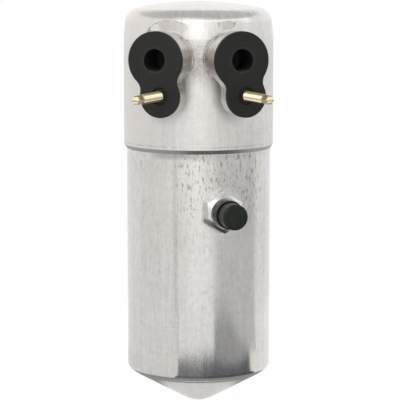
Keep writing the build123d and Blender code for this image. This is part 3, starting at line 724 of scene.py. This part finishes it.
def staged(name, verts, faces, material, hidden=True):
    data = bpy.data.meshes.new(name)
    data.from_pydata(verts, [], faces)
    data.materials.append(material)
    made = bpy.data.objects.new(name, data)
    bpy.context.collection.objects.link(made)
    if hidden:
        made.visible_camera = False
        made.visible_diffuse = False
        made.visible_transmission = False
        made.visible_shadow = False
    return made


def at(azimuth, distance, z):
    return tuple(outward(azimuth) * distance + Vector((0.0, 0.0, z)))


size = 6.0
staged("floor", [(-size, -size, FLOOR), (size, -size, FLOOR), (size, size, FLOOR), (-size, size, FLOOR)],
       [(0, 1, 2, 3)], flat_tone("floor", floor_tree), hidden=False)

TENT = 0.36
TENT_TOP = 0.60

# Plain lights and flags round the can, low for the lower shell and high for the upper one:
# azimuth of the middle, half width, softness of the edges, and what each adds to the level.

LOW_LEVEL = 0.94
LOW_SET = (
    (-4.0, 14.0, 14.0, 0.18),
    (62.0, 36.0, 8.0, -0.27),
    (-80.0, 22.0, 18.0, -0.07),
    (-34.5, 2.2, 1.2, -0.24),
)
HIGH_LEVEL = 0.99
HIGH_SET = (
    (-2.0, 18.0, 22.0, 0.31),
    (75.0, 35.0, 22.0, -0.08),
    (-75.0, 25.0, 25.0, -0.05),
)
CROWN_GAIN = 0.14
TOP_LOSS = 0.36

# Lights high in the tent that only the shoulder of the can shows: the same four numbers,
# then the heights between which each fades in and out.

SHOULDER_SET = (
    (-1.5, 6.0, 5.0, 0.36, 0.170, 0.210, 0.300, 0.360),
    (35.0, 50.0, 10.0, 0.36, 0.310, 0.340, 0.385, 0.410),
    (80.0, 9.0, 8.0, 0.34, 0.220, 0.260, 0.370, 0.400),
)


class Glow(Shader):
    """An emission material whose strength is a number or an output."""

    def __init__(self, name, tint=(1.0, 1.0, 1.0)):
        super().__init__(name)
        self.glow = self.add("ShaderNodeEmission")
        self.glow.inputs["Color"].default_value = (*tint, 1.0)
        end = self.tree.nodes["Material Output"]
        self.join(self.glow.outputs[0], end.inputs["Surface"])
        self.tree.nodes.remove(self.bsdf)

    def done(self, strength):
        self.join(strength, self.glow.inputs["Strength"])
        return self.material

    def band(self, degrees, centre, half, soft, change):
        away = self.math("ABSOLUTE", self.math("SUBTRACT", degrees, centre))
        return self.span(away, half - soft, half + soft, change, 0.0)


def tent_glow():
    s = Glow("tent")
    arc, z, degrees = cylinder_place(s, 1.0)
    levels = []
    for level, lights in ((LOW_LEVEL, LOW_SET), (HIGH_LEVEL, HIGH_SET)):
        for light in lights:
            level = s.math("ADD", s.band(degrees, *light), level)
        levels.append(level)
    high = s.span(z, 0.052, 0.074)
    level = s.math("ADD", s.math("MULTIPLY", levels[1], high),
                   s.math("MULTIPLY", levels[0], s.math("SUBTRACT", 1.0, high)))
    level = s.math("MULTIPLY", level, s.span(z, 0.175, 0.215, 1.0, 1.0 + CROWN_GAIN))
    for *band, start, full, fade, end in SHOULDER_SET:
        height = s.math("MULTIPLY", s.span(z, start, full), s.span(z, fade, end, 1.0, 0.0))
        level = s.math("ADD", level, s.math("MULTIPLY", s.band(degrees, *band), height))
    front = s.span(s.math("ABSOLUTE", degrees), 120.0, 165.0, 1.0, 0.0)
    shaded = s.math("MULTIPLY", s.span(z, 0.385, 0.425), front)
    return s.done(s.math("MULTIPLY", level, s.math("SUBTRACT", 1.0, s.math("MULTIPLY", shaded, TOP_LOSS))))


def top_glow():
    """The tent's roof: bright at the back and dark towards the front."""
    s = Glow("card_top")
    split = s.add("ShaderNodeSeparateXYZ")
    s.join(s.place, split.inputs[0])
    return s.done(s.span(split.outputs[1], -0.30, 0.34, 0.60, 0.76, smooth=False))


def under_glow():
    """The floor below the cone: in the can's own shade, lighter again at the very middle."""
    s = Glow("card_under")
    away = s.add("ShaderNodeVectorMath", operation="LENGTH")
    flat = s.add("ShaderNodeMapping")
    flat.inputs["Scale"].default_value = (1.0, 1.0, 0.0)
    s.join(s.place, flat.inputs["Vector"])
    s.join(flat.outputs[0], away.inputs[0])
    return s.done(s.span(away.outputs["Value"], 0.020, 0.032, 0.80, 0.35))


def tent():
    steps = 72
    verts, faces = [], []
    for i in range(steps):
        azimuth = 360.0 * i / steps
        verts += [at(azimuth, TENT, FLOOR), at(azimuth, TENT, TENT_TOP)]
    for i in range(steps):
        n = (i + 1) % steps
        faces.append((2 * i, 2 * n, 2 * n + 1, 2 * i + 1))
    staged("tent", verts, faces, tent_glow())


def floor_card(name, start, end, inner, outer, lift, strength, tint=(1.0, 1.0, 1.0)):
    """A flat ring-shaped card on the floor between two azimuths."""
    steps = max(2, int(abs(end - start) / 6))
    verts, faces = [], []
    for i in range(steps + 1):
        azimuth = start + (end - start) * i / steps
        verts += [at(azimuth, inner, FLOOR + lift), at(azimuth, outer, FLOOR + lift)]
    for i in range(steps):
        faces.append((2 * i, 2 * i + 2, 2 * i + 3, 2 * i + 1))
    staged(name, verts, faces, Glow(name, tint).done(strength))


tent()
floor_card("card_front_floor", -32.0, 23.0, 0.195, TENT, 0.0010, 1.02)
floor_card("card_right_floor", 23.0, 97.0, 0.195, TENT, 0.0010, 0.67)
floor_card("card_left_floor", -150.0, -32.0, 0.17, TENT, 0.0010, 0.90)
# painted shade: a dimmer card on the floor close to the can's left, seen only in reflections
floor_card("card_left_foot", -150.0, -32.0, 0.06, 0.17, 0.0012, 0.84)
floor_card("card_foot", -29.0, 6.0, 0.060, 0.196, 0.0014, 0.170, (0.95, 1.0, 1.10))
floor_card("card_right_foot", 6.0, 80.0, 0.060, 0.204, 0.0014, 0.115, (0.93, 1.0, 1.16))
floor_card("card_gap", -31.5, -29.5, 0.200, TENT, 0.0014, 0.66)
under = [at(azimuth, 0.062, FLOOR + 0.0008) for azimuth in range(0, 360, 10)]
staged("card_under", under, [tuple(range(len(under)))], under_glow())
# painted shadow of the can on the floor to its right, as a dark card seen only in reflections
WEDGE_EDGE = ((24.0, 0.190), (83.0, 0.190), (83.0, 0.201), (71.6, 0.223), (61.5, 0.258), (52.1, 0.318),
              (42.0, 0.358), (24.0, 0.358))
wedge = [at(azimuth, distance, FLOOR + 0.002) for azimuth, distance in WEDGE_EDGE]
staged("card_wedge", wedge, [tuple(range(len(wedge)))], Glow("card_wedge", (0.98, 1.0, 1.03)).done(0.42))
top = [(-TENT, -TENT, TENT_TOP), (TENT, -TENT, TENT_TOP), (TENT, TENT, TENT_TOP), (-TENT, TENT, TENT_TOP)]
staged("card_top", top, [(0, 1, 2, 3)], top_glow())

world = bpy.data.worlds.new("studio")
bpy.context.scene.world = world
world.use_nodes = True
tree = world.node_tree
tree.nodes.clear()
end = tree.nodes.new("ShaderNodeOutputWorld")
path = tree.nodes.new("ShaderNodeLightPath")
seen = tree.nodes.new("ShaderNodeMath")
seen.operation = "MAXIMUM"
tree.links.new(path.outputs["Is Camera Ray"], seen.inputs[0])
tree.links.new(path.outputs["Is Glossy Ray"], seen.inputs[1])
either = tree.nodes.new("ShaderNodeMath")
either.operation = "MAXIMUM"
tree.links.new(seen.outputs[0], either.inputs[0])
tree.links.new(path.outputs["Is Transmission Ray"], either.inputs[1])
soft = tree.nodes.new("ShaderNodeBackground")
soft.inputs["Color"].default_value = (1.0, 1.0, 1.0, 1.0)
soft.inputs["Strength"].default_value = 0.58
white = tree.nodes.new("ShaderNodeBackground")
white.inputs["Color"].default_value = (1.0, 1.0, 1.0, 1.0)
white.inputs["Strength"].default_value = 1.0
mix = tree.nodes.new("ShaderNodeMixShader")
tree.links.new(either.outputs[0], mix.inputs[0])
tree.links.new(soft.outputs[0], mix.inputs[1])
tree.links.new(white.outputs[0], mix.inputs[2])
tree.links.new(mix.outputs[0], end.inputs["Surface"])


def lamp(name, place, target, width, power):
    data = bpy.data.lights.new(name, "AREA")
    data.shape = "SQUARE"
    data.size = width
    data.energy = power
    made = bpy.data.objects.new(name, data)
    made.location = place
    made.rotation_euler = (Vector(target) - Vector(place)).to_track_quat("-Z", "Y").to_euler()
    made.visible_camera = False
    bpy.context.collection.objects.link(made)
    return made


lamp("key", (-0.42, -0.95, 0.86), (0.0, 0.0, 0.10), 0.46, 2.4)

camera_data = bpy.data.cameras.new("camera")
camera_data.sensor_width = 36.0
camera_data.lens = 160.9
camera_data.clip_end = 50.0
camera = bpy.data.objects.new("camera", camera_data)
camera.location = (0.00093, -1.1190, 0.2166)
camera.rotation_euler = (math.radians(90.0 - 7.829), 0.0, 0.0)
bpy.context.collection.objects.link(camera)
bpy.context.scene.camera = camera

bpy.context.scene.view_settings.view_transform = "Standard"
